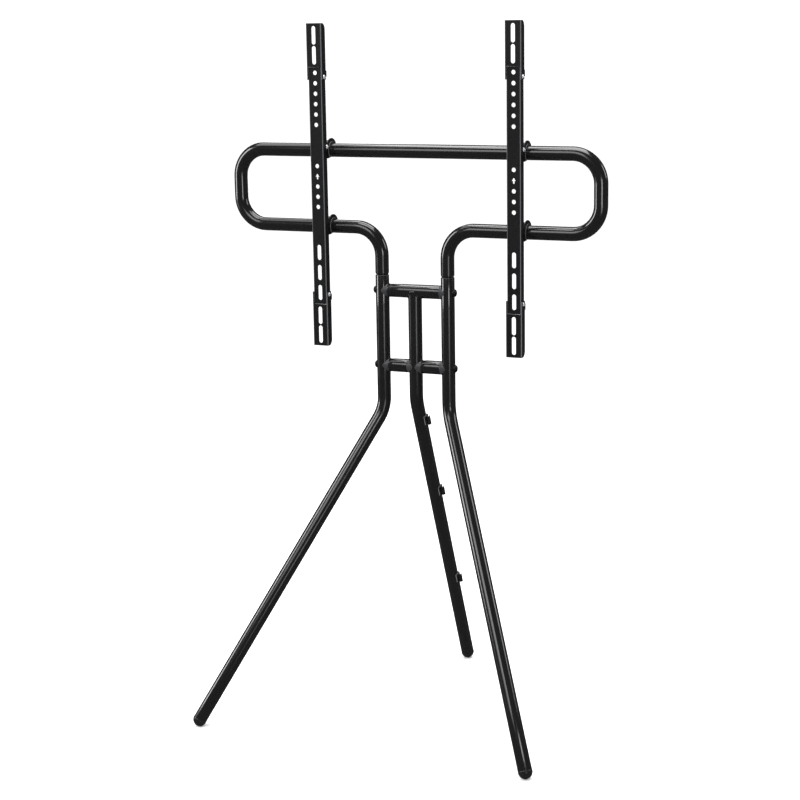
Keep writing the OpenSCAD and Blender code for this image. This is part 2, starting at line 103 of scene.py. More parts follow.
def add_node(
    tree: bpy.types.NodeTree,
    kind: str,
    settings: dict[str, object] | None = None,
    inputs: dict[str | int, object] | None = None,
) -> bpy.types.Node:
    """Adds a node with its settings, and sets or links its inputs.

    Args:
        tree: The material's node tree.
        kind: The node's type name.
        settings: Properties of the node, such as its operation.
        inputs: Values for its inputs, or the output sockets that feed them.

    Returns:
        The new node.
    """
    node = tree.nodes.new(kind)
    for name, value in (settings or {}).items():
        setattr(node, name, value)
    for name, value in (inputs or {}).items():
        if isinstance(value, bpy.types.NodeSocket):
            tree.links.new(value, node.inputs[name])
        else:
            node.inputs[name].default_value = value
    return node


def new_surface(name: str) -> tuple[bpy.types.Material, bpy.types.NodeTree, bpy.types.Node]:
    """Makes a material with one Principled shader.

    Args:
        name: The finish's name.

    Returns:
        The material, its tree and its shader.
    """
    material = bpy.data.materials.new(name)
    material.use_nodes = True
    tree = material.node_tree
    return material, tree, tree.nodes["Principled BSDF"]


def paint_edge_highlight(tree: bpy.types.NodeTree, colour: bpy.types.NodeSocket, painted_highlight: str) -> bpy.types.NodeSocket:
    """Turns a colour paler on the marked edges: a painted highlight along them.

    Args:
        tree: The material's node tree.
        colour: The finish's own colour.
        painted_highlight: The painted highlight's colour, in hex.

    Returns:
        The mixed colour.
    """
    # mix the marked edges towards a paler colour: a painted highlight
    edge = add_node(tree, "ShaderNodeAttribute", {"attribute_name": PAINTED_HIGHLIGHT})
    mix = add_node(
        tree, "ShaderNodeMix", {"data_type": "RGBA"}, {"Factor": edge.outputs["Fac"], "A": colour, "B": linear(painted_highlight)}
    )
    return mix.outputs["Result"]


@dataclass(frozen=True)
class PowderCoat:
    """Polyester powder coat, sprayed and baked on steel: a film with orange peel and fine sparkle."""

    name: str
    base: str
    lift: str
    roughness: float
    spread: float
    peel_mm: float
    peel_depth: float
    grit_mm: float
    grit_depth: float
    specular: float
    coat: float
    coat_roughness: float
    # paler colour of the marked edges: a painted highlight
    painted_highlight: str

    def build(self) -> bpy.types.Material:
        """Returns the material: two close blacks, a slow peel, a fine grit in the surface and a painted highlight on
        the marked edges.
        """
        material, tree, shader = new_surface(self.name)
        where = add_node(tree, "ShaderNodeTexCoord").outputs["Object"]
        tone = add_node(
            tree,
            "ShaderNodeTexNoise",
            inputs={"Vector": where, "Scale": 1000 / (self.grit_mm * 2.2), "Detail": 2.0, "Roughness": 0.6},
        )
        colour = add_node(
            tree,
            "ShaderNodeMix",
            {"data_type": "RGBA"},
            {"Factor": tone.outputs["Fac"], "A": linear(self.base), "B": linear(self.lift)},
        )
        cloud = add_node(
            tree, "ShaderNodeTexNoise", inputs={"Vector": where, "Scale": 1000 / 60.0, "Detail": 3.0}
        )
        rough = add_node(
            tree,
            "ShaderNodeMapRange",
            inputs={
                "Value": cloud.outputs["Fac"],
                "From Min": 0.3,
                "From Max": 0.7,
                "To Min": self.roughness - self.spread,
                "To Max": self.roughness + self.spread,
            },
        )
        peel = add_node(
            tree, "ShaderNodeTexNoise", inputs={"Vector": where, "Scale": 1000 / self.peel_mm, "Detail": 1.0}
        )
        grit = add_node(
            tree, "ShaderNodeTexNoise", inputs={"Vector": where, "Scale": 1000 / self.grit_mm, "Detail": 2.0}
        )
        slow = add_node(
            tree,
            "ShaderNodeBump",
            inputs={"Strength": 1.0, "Distance": self.peel_depth * MM, "Height": peel.outputs["Fac"]},
        )
        fine = add_node(
            tree,
            "ShaderNodeBump",
            inputs={
                "Strength": 1.0,
                "Distance": self.grit_depth * MM,
                "Height": grit.outputs["Fac"],
                "Normal": slow.outputs["Normal"],
            },
        )
        # base colour, with the painted edge highlight mixed in
        tree.links.new(paint_edge_highlight(tree, colour.outputs["Result"], self.painted_highlight), shader.inputs["Base Color"])
        tree.links.new(rough.outputs["Result"], shader.inputs["Roughness"])
        tree.links.new(fine.outputs["Normal"], shader.inputs["Normal"])
        shader.inputs["IOR"].default_value = 1.5
        shader.inputs["Specular IOR Level"].default_value = self.specular
        shader.inputs["Coat Weight"].default_value = self.coat
        shader.inputs["Coat Roughness"].default_value = self.coat_roughness
        return material


@dataclass(frozen=True)
class MouldedPlastic:
    """Injection-moulded polymer or rubber, with the fine spark-eroded texture of its mould."""

    name: str
    base: str
    lift: str
    roughness: float
    grain_mm: float
    grain_depth: float
    ior: float
    # paler colour of the marked edges: a painted highlight
    painted_highlight: str

    def build(self) -> bpy.types.Material:
        """Returns the material: one dull tone with a cellular grain, and a painted highlight on the marked edges."""
        material, tree, shader = new_surface(self.name)
        where = add_node(tree, "ShaderNodeTexCoord").outputs["Object"]
        grain = add_node(
            tree, "ShaderNodeTexVoronoi", inputs={"Vector": where, "Scale": 1000 / self.grain_mm}
        )
        cloud = add_node(
            tree, "ShaderNodeTexNoise", inputs={"Vector": where, "Scale": 1000 / 9.0, "Detail": 3.0}
        )
        colour = add_node(
            tree,
            "ShaderNodeMix",
            {"data_type": "RGBA"},
            {"Factor": cloud.outputs["Fac"], "A": linear(self.base), "B": linear(self.lift)},
        )
        rough = add_node(
            tree,
            "ShaderNodeMapRange",
            inputs={
                "Value": cloud.outputs["Fac"],
                "From Min": 0.3,
                "From Max": 0.7,
                "To Min": self.roughness - 0.05,
                "To Max": self.roughness + 0.05,
            },
        )
        bump = add_node(
            tree,
            "ShaderNodeBump",
            inputs={"Strength": 1.0, "Distance": self.grain_depth * MM, "Height": grain.outputs["Distance"]},
        )
        # base colour, with the painted edge highlight mixed in
        tree.links.new(paint_edge_highlight(tree, colour.outputs["Result"], self.painted_highlight), shader.inputs["Base Color"])
        tree.links.new(rough.outputs["Result"], shader.inputs["Roughness"])
        tree.links.new(bump.outputs["Normal"], shader.inputs["Normal"])
        shader.inputs["IOR"].default_value = self.ior
        return material


@dataclass(frozen=True)
class PlatedSteel:
    """Zinc-plated or blacked steel, turned and cold headed: fine rings and a soft shine."""

    name: str
    base: str
    lift: str
    roughness: float
    metallic: float

    def build(self) -> bpy.types.Material:
        """Returns the material: a mottled metal with a fine frost."""
        material, tree, shader = new_surface(self.name)
        where = add_node(tree, "ShaderNodeTexCoord").outputs["Object"]
        frost = add_node(
            tree, "ShaderNodeTexNoise", inputs={"Vector": where, "Scale": 1000 / 1.1, "Detail": 4.0}
        )
        colour = add_node(
            tree,
            "ShaderNodeMix",
            {"data_type": "RGBA"},
            {"Factor": frost.outputs["Fac"], "A": linear(self.base), "B": linear(self.lift)},
        )
        rough = add_node(
            tree,
            "ShaderNodeMapRange",
            inputs={
                "Value": frost.outputs["Fac"],
                "From Min": 0.3,
                "From Max": 0.7,
                "To Min": self.roughness - 0.07,
                "To Max": self.roughness + 0.07,
            },
        )
        bump = add_node(
            tree,
            "ShaderNodeBump",
            inputs={"Strength": 1.0, "Distance": 0.012 * MM, "Height": frost.outputs["Fac"]},
        )
        tree.links.new(colour.outputs["Result"], shader.inputs["Base Color"])
        tree.links.new(rough.outputs["Result"], shader.inputs["Roughness"])
        tree.links.new(bump.outputs["Normal"], shader.inputs["Normal"])
        shader.inputs["Metallic"].default_value = self.metallic
        return material


# Gloss powder coat on round tube: deep black, sharp bright streaks, a trace of orange peel. Its paler edge colour is a
# painted highlight on the rims.
TUBE_COAT = PowderCoat("gloss_black_powder_coat", "0B0B0C", "101011", 0.17, 0.03, 5.0, 0.006, 0.5, 0.0008, 0.5, 0.4, 0.08, "2A2B2C")
# Fine-texture powder coat on folded sheet: a dull black with a sandy, mottled surface. Its pale edge colour is a
# painted highlight along the folds, cut ends and edges.
RAIL_COAT = PowderCoat("textured_black_powder_coat", "030304", "131315", 0.42, 0.05, 4.0, 0.01, 2.0, 0.03, 0.24, 0.0, 0.3, "96999E")
# Glass-filled nylon, injection moulded: satin, slightly grey black.
NYLON = MouldedPlastic("moulded_black_nylon", "222325", "2C2D2F", 0.36, 0.8, 0.012, 1.53, "343538")
# The same nylon without its satin, on the small cable clips: near black.
CLIP_NYLON = MouldedPlastic("matt_black_nylon", "0C0C0D", "131314", 0.48, 0.6, 0.012, 1.53, "1E1E20")
# Polypropylene saddle lining: satin black with a painted highlight on its rim.
LINER = MouldedPlastic("moulded_polypropylene", "141415", "1E1E20", 0.36, 0.9, 0.01, 1.49, "55575A")
# Soft PVC foot cap, dip-polished mould: dull black that takes a wide soft highlight.
FOOT = MouldedPlastic("moulded_soft_pvc", "0E0E0F", "161617", 0.2, 0.7, 0.008, 1.54, "1A1A1C")
# Closed-cell foam tape under the cable clips: flat mid grey.
FOAM = MouldedPlastic("closed_cell_foam_tape", "6A6B6D", "77787A", 0.85, 0.6, 0.05, 1.45, "808183")
# Bright zinc plate on small screws: pale silver, left partly diffuse so that its pale colour gives a painted
# reflection of the bright room.
ZINC = PlatedSteel("bright_zinc_plate", "D2D5D8", "E8EAEC", 0.26, 0.7)
# Black oxide on the button-head leg bolts: dark metal with a soft shine.
BLACK_BOLT = PlatedSteel("black_oxide_steel", "0E0E0F", "19191B", 0.30, 0.55)

FINISHES: dict[Slot, PowderCoat | MouldedPlastic | PlatedSteel] = {
    Slot.POWDER_COAT: TUBE_COAT,
    Slot.RAIL_STEEL: RAIL_COAT,
    Slot.BLACK_SCREW: BLACK_BOLT,
    Slot.NYLON: NYLON,
    Slot.LINER: LINER,
    Slot.FOOT_RUBBER: FOOT,
    Slot.FOAM: FOAM,
    Slot.ZINC: ZINC,
}


class Paint:
    """Builds each finish once and puts it on pieces and CAD nodes."""

    def __init__(self) -> None:
        """Builds every finish."""
        self.materials = {slot: finish.build() for slot, finish in FINISHES.items()}
        self.clip = CLIP_NYLON.build()

    def dress(self, piece: bpy.types.Object, slot: Slot) -> None:
        """Gives a piece or a CAD node one finish.

        Args:
            piece: The object to dress.
            slot: The finish's slot.
        """
        piece.data.materials.clear()
        piece.data.materials.append(self.materials[slot])

    def dress_frame(self) -> None:
        """Dresses each CAD node in the finish that the record names for it."""
        for part in frame["record"]["subparts"]:
            self.dress(frame["nodes"][part["node"]], Slot(part["material_slot"]))


PAINT = Paint()


# ---------------------------------------------------------------- mesh helpers

RING = 56  # sides of a tube
TURN = 2 * math.pi


def finish_piece(
    name: str, bm: bmesh.types.BMesh, body: Body, slot: Slot, replaces: tuple[str, ...], sharp_deg: float = 40.0
) -> bpy.types.Object:
    """Turns a bmesh into a finished piece on its body.

    Args:
        name: The piece's name.
        bm: Its mesh, in place, which is freed.
        body: The body that it rides on.
        slot: The slot whose finish it takes.
        replaces: The CAD nodes that it stands for.
        sharp_deg: Edges that turn more than this stay crisp.

    Returns:
        The new object.
    """
    mesh = bpy.data.meshes.new(name)
    bm.to_mesh(mesh)
    bm.free()
    mesh.shade_smooth()
    mesh.set_sharp_from_angle(angle=math.radians(sharp_deg))
    piece = bpy.data.objects.new(name, mesh)
    bpy.context.scene.collection.objects.link(piece)
    mesh.materials.append(PAINT.materials[slot])
    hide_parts(*replaces)
    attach(piece, body.value)
    log.info("%s on %s: %d faces", name, body.value, len(mesh.polygons))
    return piece


def even_normals(piece: bpy.types.Object) -> None:
    """Keeps broad faces flat in shade beside their small bevels."""
    even = piece.modifiers.new("even_normals", "WEIGHTED_NORMAL")
    even.keep_sharp = True
    even.weight = 100


def cad_copy(node: str) -> bmesh.types.BMesh:
    """Returns a merged copy of a CAD node's mesh, with its flat faces made whole."""
    bm = bmesh.new()
    # face layer for the painted edge highlight
    bm.faces.layers.float.new(PAINTED_HIGHLIGHT)
    bm.from_mesh(frame["nodes"][node].data)
    bmesh.ops.remove_doubles(bm, verts=bm.verts, dist=0.004 * MM)
    bmesh.ops.dissolve_limit(bm, angle_limit=math.radians(0.6), verts=bm.verts, edges=bm.edges)
    return bm


def soften(
    bm: bmesh.types.BMesh, edges: list[bmesh.types.BMEdge], size_mm: float, segments: int, painted_highlight: float = 0.0
) -> None:
    """Rounds edges with a bevel of that size, and marks how strongly it takes the painted highlight, from 0 to 1."""
    rounded = bmesh.ops.bevel(
        bm,
        geom=edges,
        offset=size_mm * MM,
        offset_type="OFFSET",
        affect="EDGES",
        segments=segments,
        profile=0.5,
        clamp_overlap=True,
        material=-1,
    )["faces"]
    # mark the bevel's faces for the painted highlight
    mark = bm.faces.layers.float.get(PAINTED_HIGHLIGHT)
    if mark is not None:
        for face in rounded:
            face[mark] = painted_highlight


def crisp_edges(bm: bmesh.types.BMesh, turn_deg: float = 35.0) -> list[bmesh.types.BMEdge]:
    """Returns the edges where two faces turn by more than that angle."""
    return [e for e in bm.edges if len(e.link_faces) == 2 and e.calc_face_angle(0.0) > math.radians(turn_deg)]


def lathe(bm: bmesh.types.BMesh, profile_mm: list[tuple[float, float]], steps: int = 48) -> list[bmesh.types.BMVert]:
    """Spins a profile around Z into a closed solid.

    Args:
        bm: The mesh that takes the solid.
        profile_mm: Radius and height of each point, from one pole round to the other.
        steps: Sides of the solid.

    Returns:
        The solid's vertices.
    """
    old = set(bm.verts)
    line = [bm.verts.new((r * MM, 0.0, z * MM)) for r, z in profile_mm]
    edges = [bm.edges.new(pair) for pair in zip(line, line[1:])]
    bmesh.ops.spin(
        bm, geom=line + edges, cent=(0, 0, 0), axis=(0, 0, 1), dvec=(0, 0, 0), angle=TURN, steps=steps, use_merge=True
    )
    new = [v for v in bm.verts if v not in old]
    bmesh.ops.remove_doubles(bm, verts=new, dist=0.002 * MM)
    new = [v for v in bm.verts if v not in old]
    bmesh.ops.recalc_face_normals(bm, faces=list({f for v in new for f in v.link_faces}))
    return new


def put(bm: bmesh.types.BMesh, verts: list[bmesh.types.BMVert], place: Matrix) -> None:
    """Moves vertices from their own frame into place."""
    bmesh.ops.transform(bm, matrix=place, verts=verts)


def facing(at_mm: tuple[float, float, float], direction: tuple[float, float, float]) -> Matrix:
    """Returns the placement that turns +Z to a direction, at a point in millimetres."""
    turn = Vector(direction).to_track_quat("Z", "Y").to_matrix().to_4x4()
    return Matrix.Translation(Vector(at_mm) * MM) @ turn


def dome(radius: float, height: float, base: float, steps: int = 6) -> list[tuple[float, float]]:
    """Returns a domed cap's profile from its rim up to near its middle, in millimetres."""
    return [
        (radius * math.cos(a), base + height * math.sin(a))
        for a in (math.pi / 2 * i / steps for i in range(steps + 1))
    ]


def hexed(verts: list[bmesh.types.BMVert], inside_mm: float, above_mm: float, apothem_mm: float) -> None:
    """Turns the round socket within a radius and above a height into a hexagon of that apothem."""
    for v in verts:
        r = math.hypot(v.co.x, v.co.y)
        if 0.1 * MM < r < inside_mm * MM and v.co.z > above_mm * MM:
            a = math.atan2(v.co.y, v.co.x) % (TURN / 6) - TURN / 12
            k = apothem_mm * MM / math.cos(a) / r
            v.co.x, v.co.y = v.co.x * k, v.co.y * k


class TubeRun:
    """A tube that is drawn from one end to the other, by straight runs and bends of its end ring."""

    def __init__(self, start_mm: tuple[float, float, float], ahead: tuple[float, float, float], radius: float) -> None:
        """Starts with a ring of that radius at a point, looking ahead.

        Args:
            start_mm: Middle of the first ring.
            ahead: The direction of the first run.
            radius: Outside radius of the tube.
        """
        self.bm = bmesh.new()
        # face layer for the painted edge highlight
        self.bm.faces.layers.float.new(PAINTED_HIGHLIGHT)
        self.at = Vector(start_mm)
        self.ahead = Vector(ahead).normalized()
        ring = bmesh.ops.create_circle(self.bm, cap_ends=False, segments=RING, radius=radius * MM)["verts"]
        put(self.bm, ring, facing(start_mm, ahead))
        self.first = ring
        self.end = list({e for v in ring for e in v.link_edges})

    def run(self, length: float, scale: float = 1.0) -> "TubeRun":
        """Runs straight on for that length, and scales the end ring."""
        out = bmesh.ops.extrude_edge_only(self.bm, edges=self.end)["geom"]
        verts = [g for g in out if isinstance(g, bmesh.types.BMVert)]
        self.end = [g for g in out if isinstance(g, bmesh.types.BMEdge) and all(v in set(verts) for v in g.verts)]
        bmesh.ops.translate(self.bm, verts=verts, vec=self.ahead * length * MM)
        self.at = self.at + self.ahead * length
        if scale != 1.0:
            middle = Matrix.Translation(self.at * MM)
            bmesh.ops.transform(self.bm, matrix=middle @ Matrix.Scale(scale, 4) @ middle.inverted(), verts=verts)
        return self

    def straight(self, length: float, pieces: int = 1) -> "TubeRun":
        """Runs straight on in a few equal pieces."""
        for _ in range(pieces):
            self.run(length / pieces)
        return self

    def bend(self, towards: tuple[float, float, float], radius: float, angle: float, steps: int = 14) -> "TubeRun":
        """Bends towards a direction that is square to the run.

        Args:
            towards: Where the bend's middle lies.
            radius: Bend radius on the centre line.
            angle: Angle of the bend in radians.
            steps: Rings along the bend.
        """
        side = Vector(towards).normalized()
        centre = self.at + side * radius
        axis = self.ahead.cross(side).normalized()
        verts = list({v for e in self.end for v in e.verts})
        out = bmesh.ops.spin(
            self.bm,
            geom=verts + self.end,
            cent=centre * MM,
            axis=axis,
            dvec=(0, 0, 0),
            angle=angle,
            steps=steps,
            use_merge=False,
        )["geom_last"]
        self.end = [g for g in out if isinstance(g, bmesh.types.BMEdge)]
        turn = Matrix.Rotation(angle, 3, axis)
        self.at = centre + turn @ (self.at - centre)
        self.ahead = turn @ self.ahead
        return self

    def walled(self, wall: float, rim: float = 0.0) -> bmesh.types.BMesh:
        """Gives the skin its wall, inwards, and breaks the rims' edges with a painted highlight on them.

        Args:
            wall: Wall thickness.
            rim: Size of the bevel on the rims, or 0 for none.

        Returns:
            The tube's mesh.
        """
        bm = self.bm
        bmesh.ops.remove_doubles(bm, verts=bm.verts, dist=0.002 * MM)
        bmesh.ops.recalc_face_normals(bm, faces=bm.faces)
        middle = sum((v.co for v in self.first), Vector()) / len(self.first)
        if self.first[0].link_faces[0].normal.dot(self.first[0].co - middle) < 0:
            bmesh.ops.reverse_faces(bm, faces=bm.faces)
        bmesh.ops.solidify(bm, geom=bm.faces, thickness=wall * MM)
        bmesh.ops.recalc_face_normals(bm, faces=bm.faces)
        if rim:
            # the rims' bevels take the full painted highlight
            soften(bm, crisp_edges(bm, 60.0), rim, 2, 1.0)
        return bm


# ---------------------------------------------------------------- the stand


@dataclass
class TubeSizes:
    """Sizes that the frame, the legs and the crossbars share, in millimetres."""

    radius: float = 13.5
    wall: float = 1.5
    plane_y: float = 26.0
    post_x: float = 70.0
    leg_top_z: float = 872.0
    upper_bar_z: float = 842.0
    lower_bar_z: float = 692.0
    fit: float = 0.1


@dataclass
class UpperFrame:
    """One bent tube: swaged neck, post, loop, top tube, loop, post and neck again."""

    tube: TubeSizes
    width: float = 762.0
    top_z: float = 1115.0
    loop_h: float = 150.0
    bend_r: float = 55.0
    neck_len: float = 55.0
    neck_r: float = 11.75
    taper: float = 3.0
    rim_gap: float = 1.0

    def build(self) -> None:
        """Draws the tube from the left neck round to the right one."""
        t = self.tube
        low_z = self.top_z - self.loop_h
        cone_z = t.leg_top_z + self.rim_gap
        post = low_z - self.bend_r - cone_z - self.taper
        low = self.width / 2 - t.post_x - 2 * self.bend_r
        grow = t.radius / self.neck_r
        left, right, up, down = (-1, 0, 0), (1, 0, 0), (0, 0, 1), (0, 0, -1)
        quarter = math.pi / 2
        start = (-t.post_x, t.plane_y, t.leg_top_z - self.neck_len)
        run = TubeRun(start, up, self.neck_r).run(self.neck_len + self.rim_gap).run(self.taper, grow)
        run.straight(post).bend(left, self.bend_r, quarter).straight(low, 3)
        run.bend(up, self.bend_r, quarter).run(self.loop_h - 2 * self.bend_r).bend(right, self.bend_r, quarter)
        run.straight(self.width - 2 * self.bend_r, 8)
        run.bend(down, self.bend_r, quarter).run(self.loop_h - 2 * self.bend_r).bend(left, self.bend_r, quarter)
        run.straight(low, 3).bend(down, self.bend_r, quarter).straight(post)
        run.run(self.taper, 1 / grow).run(self.neck_len + self.rim_gap)
        finish_piece("bent_upper_frame", run.walled(t.wall), Body.BASE, Slot.POWDER_COAT, ("upper_frame",), 30.0)


@dataclass
class Legs:
    """Two front legs with rolled rims, and a rear leg that is coped and welded under the upper crossbar."""

    tube: TubeSizes
    bend_r: float = 75.0
    front_bend_z: float = 603.0
    rear_bend_z: float = 623.0
    foot_x: float = 343.0
    front_reach: float = 308.0
    rear_reach: float = 256.0
    rim: float = 0.45
    bead: float = 1.5
    ripples: int = 34

    def leg(self, x: float, top: float, bend_z: float, out: Vector) -> TubeRun:
        """Draws one leg from its top down to its foot.

        Args:
            x: Place of its upright part.
            top: Height of its top.
            bend_z: Height where its two centre lines meet.
            out: How far its foot stands out, as a level vector.

        Returns:
            The leg's skin.
        """
        drop = bend_z - self.tube.radius
        angle = math.atan2(out.length, drop)
        cut = self.bend_r * math.tan(angle / 2)
        run = TubeRun((x, self.tube.plane_y, top), (0, 0, -1), self.tube.radius)
        run.straight(top - bend_z - cut, 3).bend(tuple(out), self.bend_r, angle, 10)
        return run.straight(math.hypot(out.length, drop) - cut, 6)

    def weld(self) -> None:
        """Lays the rippled weld bead round the saddle seam of the rear leg."""
        t = self.tube
        bm = bmesh.new()
        profile = [
            (t.radius + self.bead * math.cos(a), self.bead * math.sin(a)) for a in (TURN * i / 10 for i in range(11))
        ]
        verts = lathe(bm, profile, 136)
        for v in verts:
            r, a = math.hypot(v.co.x, v.co.y), math.atan2(v.co.y, v.co.x)
            swell = 1 + 0.14 * math.cos(self.ripples * a)
            r = t.radius * MM + (r - t.radius * MM) * swell
            v.co.x, v.co.y = r * math.cos(a), r * math.sin(a)
            reach = min(abs(v.co.y), t.radius * MM)
            v.co.z = v.co.z * swell - math.sqrt((t.radius * MM) ** 2 - reach**2)
        put(bm, verts, Matrix.Translation(Vector((0, t.plane_y, t.upper_bar_z)) * MM))
        finish_piece("rear_leg_weld_bead", bm, Body.BASE, Slot.POWDER_COAT, ("rear_leg_weld",), 60.0)

    def build(self) -> None:
        """Draws the three legs and the weld."""
        t = self.tube
        for name, side in (("left", -1), ("right", 1)):
            out = Vector((side * (self.foot_x - t.post_x), -self.front_reach, 0))
            run = self.leg(side * t.post_x, t.leg_top_z, self.front_bend_z, out)
            bm = run.walled(t.wall, self.rim)
            finish_piece(f"{name}_front_leg", bm, Body.BASE, Slot.POWDER_COAT, (f"{name}_leg",), 50.0)
        run = self.leg(0.0, t.upper_bar_z, self.rear_bend_z, Vector((0, self.rear_reach, 0)))
        for v in run.first:
            y = v.co.y - t.plane_y * MM
            v.co.z -= math.sqrt(max(((t.radius + t.fit) * MM) ** 2 - y * y, 0.0))
        finish_piece("rear_leg_tube", run.walled(t.wall), Body.BASE, Slot.POWDER_COAT, ("rear_leg",), 50.0)
        self.weld()


@dataclass
class Crossbars:
    """Three crossbar tubes, with moulded collars that saddle the legs."""

    tube: TubeSizes
    step: float = 1.4
    plug: float = 18.0

    def bar(self, name: str, start: float, end: float, z: float) -> None:
        """Cuts one crossbar to length and breaks its rims, with a painted highlight on them."""
        run = TubeRun((start, self.tube.plane_y, z), (1, 0, 0), self.tube.radius).straight(end - start, 4)
        bm = run.walled(self.tube.wall, 0.3)
        finish_piece(f"{name}_tube", bm, Body.BASE, Slot.POWDER_COAT, (name,), 50.0)

    def collar(self, node: str, x: float, z: float, side: int) -> None:
        """Moulds one collar: saddle end, short body with a rolled shoulder, and a plug inside the bar.

        Args:
            node: The CAD node that it stands for.
            x: Place of the upright tube that it saddles.
            z: Its height.
            side: 1 where the bar is on the +X side, else -1.
        """
        r = self.tube.radius
        out = r + self.step - self.tube.fit
        end = r + self.step + self.plug
        bm = bmesh.new()
        bore = 4.1
        profile = [
            (bore, 0.0),
            (r - 0.9, 0.0),
            (r - 0.25, 0.12),
            (r, 0.7),
            (r, out * 0.5),
            (r, out - 0.75),
            (r - 0.2, out - 0.2),
            (r - 0.7, out),
            (r - self.tube.wall - 0.1, out),
            (r - self.tube.wall - 0.1, end - 1.0),
            (r - self.tube.wall - 1.0, end),
            (bore, end),
            (bore, 0.0),
        ]
        verts = lathe(bm, profile, 72)
        for v in verts:
            if v.co.z < (out - 1.0) * MM:
                saddle = math.sqrt(max(((r + 0.1) * MM) ** 2 - v.co.y**2, 0.0))
                share = 1 - v.co.z / ((out - 1.0) * MM)
                v.co.z += saddle * share
        turn = Matrix.Rotation(side * math.pi / 2, 4, "Y")
        put(bm, verts, Matrix.Translation(Vector((x, self.tube.plane_y, z)) * MM) @ turn)
        bmesh.ops.recalc_face_normals(bm, faces=bm.faces)
        finish_piece(f"{node}_moulding", bm, Body.BASE, Slot.NYLON, (node,), 50.0)

    def build(self) -> None:
        """Makes the bars, then a collar at each of their ends."""
        t = self.tube
        gap = t.radius + self.step
        self.bar("upper_crossbar", -t.post_x + gap, t.post_x - gap, t.upper_bar_z)
        self.bar("lower_crossbar_left", -t.post_x + gap, -gap, t.lower_bar_z)
        self.bar("lower_crossbar_right", gap, t.post_x - gap, t.lower_bar_z)
        for node, x, z, side in (
            ("upper_collar_left", -t.post_x, t.upper_bar_z, 1),
            ("upper_collar_right", t.post_x, t.upper_bar_z, -1),
            ("lower_collar_left_outer", -t.post_x, t.lower_bar_z, 1),
            ("lower_collar_left_inner", 0.0, t.lower_bar_z, -1),
            ("lower_collar_right_inner", 0.0, t.lower_bar_z, 1),
            ("lower_collar_right_outer", t.post_x, t.lower_bar_z, -1),
        ):
            self.collar(node, x, z, side)


@dataclass
class LegBolts:
    """Button-head bolts with hexagon sockets on saddle washers, and headless lock screws."""

    tube: TubeSizes
    head_r: float = 7.0
    head_h: float = 3.9
    rim: float = 0.7
    socket: float = 2.5
    socket_deep: float = 2.3
    shank_r: float = 3.9
    shank_end: float = -45.5
    washer_r: float = 7.75
    washer_t: float = 1.0
    lock_z: float = 860.5
    lock_r: float = 2.0

    def bolt(self, bm: bmesh.types.BMesh, place: Matrix) -> None:
        """Turns one bolt, whose head stands on z = 0 and points up."""
        r, h = self.head_r, self.head_h
        floor = h - self.socket_deep
        cap = [p for p in dome(r, h - self.rim, self.rim, 8) if p[0] > self.socket + 0.55]
        profile = [(0.0, self.shank_end), (self.shank_r - 0.5, self.shank_end), (self.shank_r, self.shank_end + 0.5)]
        profile += [(self.shank_r, 0.0), (r - 0.3, 0.0), (r, 0.25), *cap]
        profile += [(self.socket + 0.5, h - 0.12), (self.socket + 0.15, h - 0.25)]
        profile += [(self.socket, h - 0.6), (self.socket, floor), (0.0, floor - 0.6)]
        verts = lathe(bm, profile, 60)
        hexed(verts, self.socket + 0.1, floor - 0.1, self.socket)
        put(bm, verts, place)

    def build(self) -> None:
        """Makes the four bolts, their washers and the two lock screws."""
        t = self.tube
        seat = t.radius + self.washer_t + 0.1
        bolts = bmesh.new()
        washers = bmesh.new()
        for side in (-1, 1):
            for z in (t.upper_bar_z, t.lower_bar_z):
                place = facing((side * (t.post_x + seat), t.plane_y, z), (side, 0, 0))
                self.bolt(bolts, place)
                profile = [(4.1, 0), (self.washer_r - 0.2, 0), (self.washer_r, 0.2), (self.washer_r, 0.8)]
                profile += [(self.washer_r - 0.25, 1.0), (4.3, 1.0), (4.1, 0.8), (4.1, 0)]
                verts = lathe(washers, profile, 64)
                axis_place = facing((side * t.post_x, t.plane_y, z), (side, 0, 0))
                back = axis_place.to_3x3().transposed()
                level = back @ Vector((0, 1, 0))
                for v in verts:
                    across = min(abs(v.co.dot(level)), t.radius * MM)
                    curve = math.sqrt(((t.radius + 0.1) * MM) ** 2 - across**2)
                    lift = v.co.z
                    v.co.z = curve + lift if lift < 0.5 * MM else max(curve, t.radius * MM * 0.9) + lift
                    if lift >= 0.5 * MM:
                        v.co.z = (t.radius + self.washer_t) * MM - (1.0 * MM - lift)
                put(washers, verts, axis_place)
        finish_piece("leg_button_bolts", bolts, Body.BASE, Slot.BLACK_SCREW, ("leg_bolts",))
        bmesh.ops.recalc_face_normals(washers, faces=washers.faces)
        finish_piece("leg_saddle_washers", washers, Body.BASE, Slot.BLACK_SCREW, ("leg_bolt_washers",))
        locks = bmesh.new()
        r = self.lock_r
        for side in (-1, 1):
            length = 6.75
            profile = [(0.0, -length), (r - 0.3, -length), (r, -length + 0.3), (r, -0.25), (r - 0.25, 0.0)]
            profile += [(1.25, 0.0), (1.05, -0.2), (1.05, -1.4), (0.0, -1.7)]
            verts = lathe(locks, profile, 36)
            hexed(verts, 1.15, -1.5, 1.0)
            end = t.radius + 0.5
            put(locks, verts, facing((side * (t.post_x - end), t.plane_y, self.lock_z), (-side, 0, 0)))
        finish_piece("frame_set_screws", locks, Body.BASE, Slot.BLACK_SCREW, ("frame_lock_screws",))


